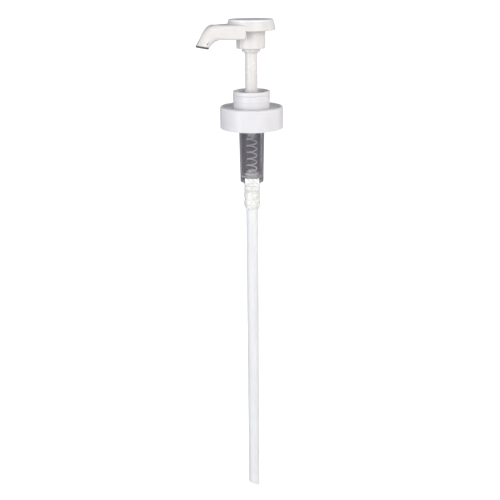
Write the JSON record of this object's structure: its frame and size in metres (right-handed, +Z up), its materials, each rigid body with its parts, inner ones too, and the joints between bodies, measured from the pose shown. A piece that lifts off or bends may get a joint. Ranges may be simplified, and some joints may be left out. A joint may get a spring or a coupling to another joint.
{
  "type": "condiment pump dispenser",
  "caption": "Hand pump for a screw-neck sauce jug: press-down head with a side spout, screw closure, see-through cylinder with return spring, and long dip tube.",
  "frame": {"origin": "on the pump's axis, in the plane where the gasket seals on the rim of the bottle's neck", "axes": "+Z up along the pump's axis towards the head; the spout points along -X"},
  "size_m": [0.0622, 0.0434, 0.3649],
  "materials": {
    "head_white": "moulded polypropylene, satin gloss",
    "plate_white": "moulded polypropylene, satin gloss",
    "closure_white": "moulded polypropylene, satin gloss",
    "collar_white": "moulded polypropylene, satin gloss",
    "stem_white": "moulded polypropylene, polished",
    "insert_white": "moulded acetal",
    "wiper_white": "soft moulded polyethylene",
    "piston_natural": "soft natural polyethylene",
    "gasket_foam": "foamed polyethylene",
    "seal_rubber": "pale food-grade rubber",
    "smoke_clear": "clear smoky plastic, polished",
    "foot_clear": "clear natural plastic",
    "tube_natural": "extruded natural polyethylene",
    "spring_steel": "drawn stainless wire",
    "ball_steel": "polished stainless ball"
  },
  "bodies": {
    "pump_housing": {"cylinder": "smoke_clear", "collar": "collar_white", "cylinder_seal_ring": "seal_rubber", "neck_gasket": "gasket_foam", "stem_wiper": "wiper_white", "return_spring": "spring_steel", "foot_valve_body": "foot_clear", "foot_valve_ring": "seal_rubber", "inlet_ball_cage": "insert_white", "spring_cup": "insert_white", "dip_tube": "tube_natural"},
    "screw_closure": {"closure": "closure_white"},
    "piston_group": {"piston": "piston_natural"},
    "head_group": {"stem": "stem_white", "piston_retainer": "insert_white", "outlet_seat": "insert_white", "outlet_cage": "insert_white", "actuator_body": "head_white", "thumb_plate": "plate_white"},
    "inlet_check": {"inlet_ball": "ball_steel"},
    "outlet_check": {"outlet_ball": "ball_steel"}
  },
  "joints": [
    {"name": "closure_turn", "type": "hinge", "parent": "pump_housing", "child": "screw_closure", "pos_m": [0, 0, 0], "axis": [0, 0, 1], "continuous": true},
    {"name": "pump_stroke", "type": "slide", "parent": "pump_housing", "child": "piston_group", "axis": [0, 0, -1], "range_m": [0, 0.022], "stiffness_N_per_m": 1200, "springref_m": -0.004, "deforming": ["return_spring"]},
    {"name": "head_turn", "type": "hinge", "parent": "piston_group", "child": "head_group", "pos_m": [0, 0, 0], "axis": [0, 0, 1], "continuous": true},
    {"name": "inlet_ball_lift", "type": "slide", "parent": "pump_housing", "child": "inlet_check", "axis": [0, 0, 1], "range_m": [0, 0.0015]},
    {"name": "outlet_ball_lift", "type": "slide", "parent": "head_group", "child": "outlet_check", "axis": [0, 0, 1], "range_m": [0, 0.0015]}
  ]
}
